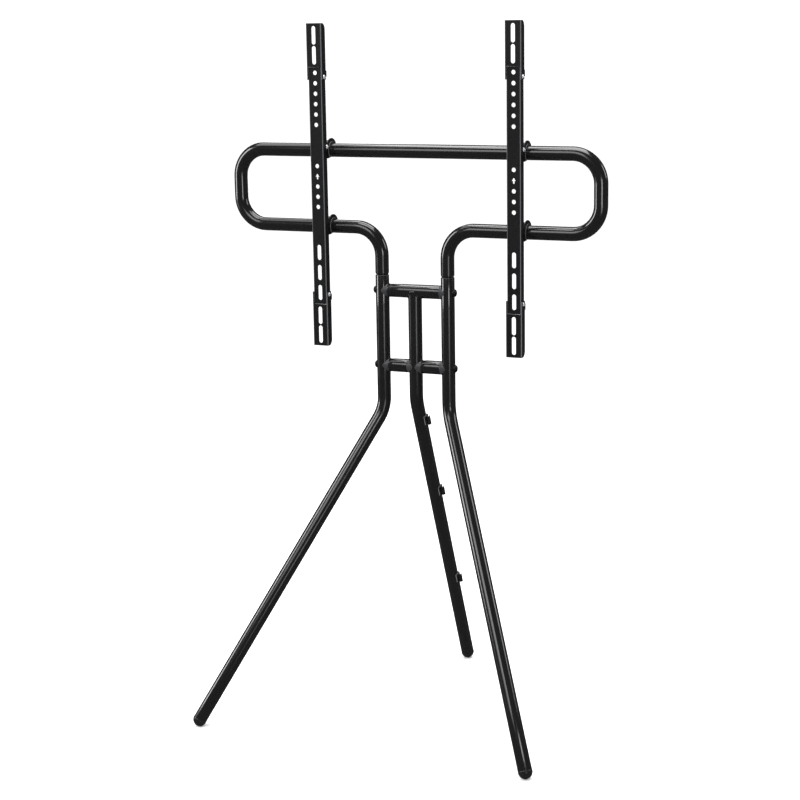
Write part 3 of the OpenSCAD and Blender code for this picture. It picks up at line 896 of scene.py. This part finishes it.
@dataclass
class Feet:
    """Moulded foot caps: a dome with a parting line and a lip, and a ribbed plug inside the leg."""

    tube: TubeSizes
    plug_r: float = 11.9
    plug_len: float = 22.0
    lip: float = 0.3

    def foot(self, name: str, at: Vector, out: Vector, bend_z: float) -> None:
        """Moulds one foot, whose plug points up its leg.

        Args:
            name: Its side.
            at: Middle of its dome, in millimetres.
            out: How far the foot stands out from its post, as a level vector.
            bend_z: Height of its leg's bend.
        """
        r = self.tube.radius
        steps = 16
        bowl = [(r * math.sin(a), -r * math.cos(a)) for a in (math.pi / 2 * i / steps for i in range(1, steps))]
        profile = [(0.0, -r), *[p for p in bowl if p[1] < -3.4]]
        edge = math.sqrt(r * r - 3.2**2)
        profile += [(edge, -3.2), (edge + self.lip * 0.9, -2.9), (r + self.lip, -1.6), (r + self.lip, -0.5)]
        profile += [(r + self.lip * 0.5, -0.06), (r - 0.4, 0.0), (self.plug_r, 0.0)]
        for i in range(1, 5):
            z = self.plug_len * i / 5
            profile += [(self.plug_r - 0.5, z - 1.2), (self.plug_r, z)]
        profile += [(self.plug_r - 1.0, self.plug_len), (0.0, self.plug_len)]
        bm = bmesh.new()
        verts = lathe(bm, profile, 64)
        leg_up = Vector((-out.x, -out.y, bend_z - r)).normalized()
        put(bm, verts, facing(tuple(at), tuple(leg_up)))
        finish_piece(f"{name}_foot_cap", bm, Body.BASE, Slot.FOOT_RUBBER, (f"{name}_foot",), 50.0)

    def build(self, legs: Legs) -> None:
        """Puts a cap on each leg."""
        r, y = self.tube.radius, self.tube.plane_y
        for name, side in (("left", -1), ("right", 1)):
            out = Vector((side * (legs.foot_x - self.tube.post_x), -legs.front_reach, 0))
            self.foot(name, Vector((side * legs.foot_x, y - legs.front_reach, r)), out, legs.front_bend_z)
        out = Vector((0, legs.rear_reach, 0))
        self.foot("rear", Vector((0, y + legs.rear_reach, r)), out, legs.rear_bend_z)


@dataclass
class CableClips:
    """Three sprung clips stuck to the rear leg on foam tape."""

    edge: float = 0.35

    def build(self) -> None:
        """Rounds the clips' moulded edges."""
        for name in ("upper", "middle", "lower"):
            bm = cad_copy(f"cable_clip_{name}")
            soften(bm, crisp_edges(bm, 45.0), self.edge, 2)
            piece = finish_piece(f"{name}_cable_clip", bm, Body.BASE, Slot.NYLON, (f"cable_clip_{name}",))
            piece.data.materials[0] = PAINT.clip
            even_normals(piece)


@dataclass
class FoldedSheet:
    """A part pressed from sheet, in the shape of its twin on the other rail: rounded folds, broken edges, and a
    painted highlight along them.
    """

    node: str
    twin: str
    body: Body
    fold_r: float
    end_z: float | None = None
    edge: float = 0.22
    end_edge: float = 0.8

    def is_end(self, edge: bmesh.types.BMEdge, low: Vector) -> bool:
        """Tells whether an edge is the front face's cut end, at the height that is rolled over."""
        at = [(abs(v.co.z - (self.end_z or 0.0) * MM), abs(v.co.y - low.y)) for v in edge.verts]
        return self.end_z is not None and max(max(pair) for pair in at) < 0.05 * MM

    def is_fold(self, edge: bmesh.types.BMEdge, low: Vector, high: Vector) -> bool:
        """Tells whether an edge is one of the two outer folds along the front face."""
        a, b = (v.co for v in edge.verts)
        upright = abs(a.z - b.z) > 5 * MM and math.hypot(a.x - b.x, a.y - b.y) < 0.05 * MM
        at_front = abs(a.y - low.y) < 0.05 * MM
        return upright and at_front and min(abs(a.x - low.x), abs(a.x - high.x)) < 0.05 * MM

    def build(self) -> None:
        """Rounds the folds, breaks the edges, paints a highlight along them and puts the piece on its body."""
        low, high = (Vector(c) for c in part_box(self.twin))
        bm = cad_copy(self.twin)
        folds = [e for e in crisp_edges(bm, 60.0) if self.is_fold(e, low, high)]
        # the folds take a faint painted highlight
        soften(bm, folds, self.fold_r, 5, 0.22)
        ends = [e for e in crisp_edges(bm, 60.0) if self.is_end(e, low)]
        # the cut ends take the full painted highlight, a bright line
        soften(bm, ends, self.end_edge, 3, 1.0)
        # the other edges take a faint painted highlight
        soften(bm, crisp_edges(bm, 50.0), self.edge, 1, 0.16)
        bmesh.ops.translate(bm, verts=bm.verts, vec=Vector(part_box(self.node)[0]) - low)
        piece = finish_piece(f"{self.node}_pressing", bm, self.body, Slot.RAIL_STEEL, (self.node,), 50.0)
        even_normals(piece)


@dataclass
class SmallScrews:
    """Pan-head cross screws: the lock screws in the extensions and the ties through the upper hooks."""

    head_r: float = 4.0
    head_h: float = 2.2
    arm: float = 0.55
    arm_len: float = 2.1
    deep: float = 1.3

    def screw(self, bm: bmesh.types.BMesh, place: Matrix, shank_r: float, length: float) -> None:
        """Turns one screw whose head stands on z = 0, and presses the cross into it."""
        rings = [(r, self.head_h * math.sqrt(max(1 - (r / self.head_r) ** 2.6, 0.0))) for r in
                 (self.head_r * (1 - i / 16) for i in range(16))]
        profile = [(0.0, -length), (shank_r - 0.4, -length), (shank_r, -length + 0.4), (shank_r, 0.0)]
        profile += [(self.head_r - 0.2, 0.0), (self.head_r, 0.2)] + [(r, max(z, 0.35)) for r, z in rings[1:]]
        profile += [(0.0, self.head_h)]
        verts = lathe(bm, profile, 72)
        for v in verts:
            r, thin = math.hypot(v.co.x, v.co.y) / MM, min(abs(v.co.x), abs(v.co.y)) / MM
            if v.co.z > 0.3 * MM and r < self.arm_len and thin < self.arm:
                v.co.z -= self.deep * (1 - 0.5 * r / self.arm_len) * MM
        put(bm, verts, place)

    def build_locks(self) -> None:
        """Puts two lock screws in each extension's tails, where the CAD has them."""
        for side in ("left", "right"):
            for end in ("top", "bottom"):
                node = f"{side}_{end}_lock_screws"
                low, high = (Vector(c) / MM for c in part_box(node))
                bm = bmesh.new()
                mid_y, mid_z = (low.y + high.y) / 2, (low.z + high.z) / 2
                for x, way in ((low.x, -1), (high.x, 1)):
                    place = facing((x - way * self.head_h, mid_y, mid_z), (way, 0, 0))
                    self.screw(bm, place, 2.0, 2.2)
                body = Body(f"{side}_{end}_extension")
                finish_piece(f"{node}_cross_head", bm, body, Slot.ZINC, (node,))

    def build_hooks(self) -> None:
        """Ties each rail's upper hooks with a long screw and a hexagon nut."""
        for side in ("left", "right"):
            low, high = (Vector(c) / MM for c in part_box(f"{side}_hook_screw"))
            body = Body(f"{side}_rail")
            bm = bmesh.new()
            place = facing((high.x - self.head_h, (low.y + high.y) / 2, (low.z + high.z) / 2), (1, 0, 0))
            self.screw(bm, place, 1.9, high.x - self.head_h - low.x)
            finish_piece(f"{side}_hook_cross_screw", bm, body, Slot.ZINC, (f"{side}_hook_screw",))
            nut = cad_copy(f"{side}_hook_nut")
            soften(nut, crisp_edges(nut, 40.0), 0.3, 2)
            even_normals(finish_piece(f"{side}_hook_hex_nut", nut, body, Slot.ZINC, (f"{side}_hook_nut",)))


@dataclass
class MountingRails:
    """Both rails with their hooks, saddle liners and extensions."""

    rail_fold: float = 1.3
    extension_fold: float = 1.6
    top_end_z: float = 1276.5
    bottom_end_z: float = 813.5
    liner_edge: float = 0.4

    def build(self) -> None:
        """Presses the sheet parts and moulds the liners."""
        for side in ("left", "right"):
            rail = Body(f"{side}_rail")
            FoldedSheet(f"{side}_rail", "left_rail", rail, self.rail_fold).build()
            for end, end_z in (("top", self.top_end_z), ("bottom", self.bottom_end_z)):
                name = f"{side}_{end}_extension"
                FoldedSheet(name, f"left_{end}_extension", Body(name), self.extension_fold, end_z).build()
            for level in ("upper", "lower"):
                node = f"{side}_rail_{level}_liner"
                bm = cad_copy(node)
                # the liners' edges take the full painted highlight
                soften(bm, crisp_edges(bm, 45.0), self.liner_edge, 2, 1.0)
                even_normals(finish_piece(f"{node}_saddle", bm, rail, Slot.LINER, (node,)))


# ---------------------------------------------------------------- studio


@dataclass(frozen=True)
class SoftBox:
    """A soft rectangular lamp that faces the stand's middle from a given direction."""

    name: str
    azimuth_deg: float
    elevation_deg: float
    distance_m: float
    width_m: float
    height_m: float
    radiance: float


@dataclass
class Studio:
    """Floor, light and camera."""

    lens_mm: float = 82.08
    yaw_deg: float = 24.40
    pitch_deg: float = 11.76
    roll_deg: float = -0.94
    eye_mm: tuple[float, float, float] = (1436.8, -3220.8, 1363.3)
    floor_m: float = 60.0
    middle_m: float = 0.75
    room: float = 1.25
    room_in_gloss: float = 0.085
    lamps: tuple[SoftBox, ...] = (
        SoftBox("left_strip", -67.0, 17.0, 3.2, 0.9, 2.3, 8.5),
        SoftBox("left_low", -75.0, -6.0, 3.2, 0.8, 0.5, 1.5),
        SoftBox("right_strip", 42.0, 6.4, 1.95, 0.5, 0.4, 6.0),
        SoftBox("right_low", 41.0, -7.0, 3.2, 0.95, 0.5, 2.3),
        SoftBox("front_high", -14.0, 35.0, 3.9, 2.0, 0.9, 3.6),
        SoftBox("front_middle", -14.0, 24.0, 3.4, 1.8, 0.7, 2.5),
        SoftBox("overhead", -164.0, 86.0, 2.6, 2.0, 2.4, 6.0),
        SoftBox("overhead_left", -98.0, 60.0, 2.9, 2.4, 1.0, 2.4),
        SoftBox("right_side", 114.0, 24.0, 3.2, 0.8, 1.3, 4.5),
        SoftBox("back_left", -150.0, 12.0, 3.4, 0.6, 2.0, 2.5),
    )

    def camera(self) -> None:
        """Sets the camera in front of the stand, a little to its right and above its middle."""
        yaw, pitch, roll = (math.radians(a) for a in (self.yaw_deg, self.pitch_deg, self.roll_deg))
        forward = Vector((-math.sin(yaw), math.cos(yaw), 0.0))
        right = Vector((math.cos(yaw), math.sin(yaw), 0.0))
        up = Vector((0.0, 0.0, 1.0))
        ahead = forward * math.cos(pitch) - up * math.sin(pitch)
        above = up * math.cos(pitch) + forward * math.sin(pitch)
        x_axis = right * math.cos(roll) + above * math.sin(roll)
        y_axis = -right * math.sin(roll) + above * math.cos(roll)
        data = bpy.data.cameras.new("camera")
        data.lens = self.lens_mm
        data.sensor_width = 36.0
        data.clip_start, data.clip_end = 0.05, 200.0
        eye = bpy.data.objects.new("camera", data)
        bpy.context.scene.collection.objects.link(eye)
        turn = Matrix((x_axis, y_axis, -ahead)).transposed().to_4x4()
        eye.matrix_world = Matrix.Translation(Vector(self.eye_mm) * MM) @ turn
        bpy.context.scene.camera = eye

    def floor(self) -> None:
        """Lays a plain pale floor."""
        mesh = bpy.data.meshes.new("floor")
        bm = bmesh.new()
        bmesh.ops.create_grid(bm, x_segments=1, y_segments=1, size=self.floor_m / 2)
        bm.to_mesh(mesh)
        bm.free()
        floor = bpy.data.objects.new("floor", mesh)
        bpy.context.scene.collection.objects.link(floor)
        material, _, shader = new_surface("pale_studio_floor")
        shader.inputs["Base Color"].default_value = (0.9, 0.9, 0.9, 1.0)
        shader.inputs["Roughness"].default_value = 0.9
        shader.inputs["Specular IOR Level"].default_value = 0.1
        mesh.materials.append(material)
        floor.visible_glossy = False

    def lamp(self, lamp: "SoftBox") -> None:
        """Hangs one soft rectangular lamp around the stand's middle, facing it.

        Args:
            lamp: Its name, place, size and brightness.
        """
        data = bpy.data.lights.new(lamp.name, "AREA")
        data.shape = "RECTANGLE"
        data.size, data.size_y = lamp.width_m, lamp.height_m
        data.energy = lamp.radiance * math.pi * lamp.width_m * lamp.height_m
        turn, rise = math.radians(lamp.azimuth_deg), math.radians(lamp.elevation_deg)
        out = Vector((math.sin(turn) * math.cos(rise), -math.cos(turn) * math.cos(rise), math.sin(rise)))
        thing = bpy.data.objects.new(lamp.name, data)
        thing.location = Vector((0.0, 0.0, self.middle_m)) + out * lamp.distance_m
        thing.rotation_mode = "QUATERNION"
        thing.rotation_quaternion = (-out).to_track_quat("-Z", "Y")
        thing.visible_camera = False
        bpy.context.scene.collection.objects.link(thing)

    def light(self) -> None:
        """Lights the stand with a pale room that gloss sees as dim, and with its soft boxes."""
        world = bpy.data.worlds.new("room")
        world.use_nodes = True
        tree = world.node_tree
        path = add_node(tree, "ShaderNodeLightPath")
        strength = add_node(
            tree,
            "ShaderNodeMapRange",
            inputs={
                "Value": path.outputs["Is Glossy Ray"],
                "To Min": self.room,
                "To Max": self.room_in_gloss,
            },
        )
        background = tree.nodes["Background"]
        background.inputs["Color"].default_value = (1.0, 1.0, 1.0, 1.0)
        tree.links.new(strength.outputs["Result"], background.inputs["Strength"])
        bpy.context.scene.world = world
        for lamp in self.lamps:
            self.lamp(lamp)

    def build(self) -> None:
        """Sets up camera, floor and light."""
        bpy.context.scene.view_settings.view_transform = "Standard"
        self.camera()
        self.floor()
        self.light()


def main() -> None:
    """Dresses the stand and sets up the studio."""
    logging.basicConfig(level=logging.INFO, format="%(name)s: %(message)s")
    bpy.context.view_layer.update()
    Studio().build()
    PAINT.dress_frame()
    tube = TubeSizes()
    legs = Legs(tube)
    UpperFrame(tube).build()
    legs.build()
    Crossbars(tube).build()
    LegBolts(tube).build()
    Feet(tube).build(legs)
    CableClips().build()
    MountingRails().build()
    screws = SmallScrews()
    screws.build_locks()
    screws.build_hooks()


if __name__ == "__main__":
    main()
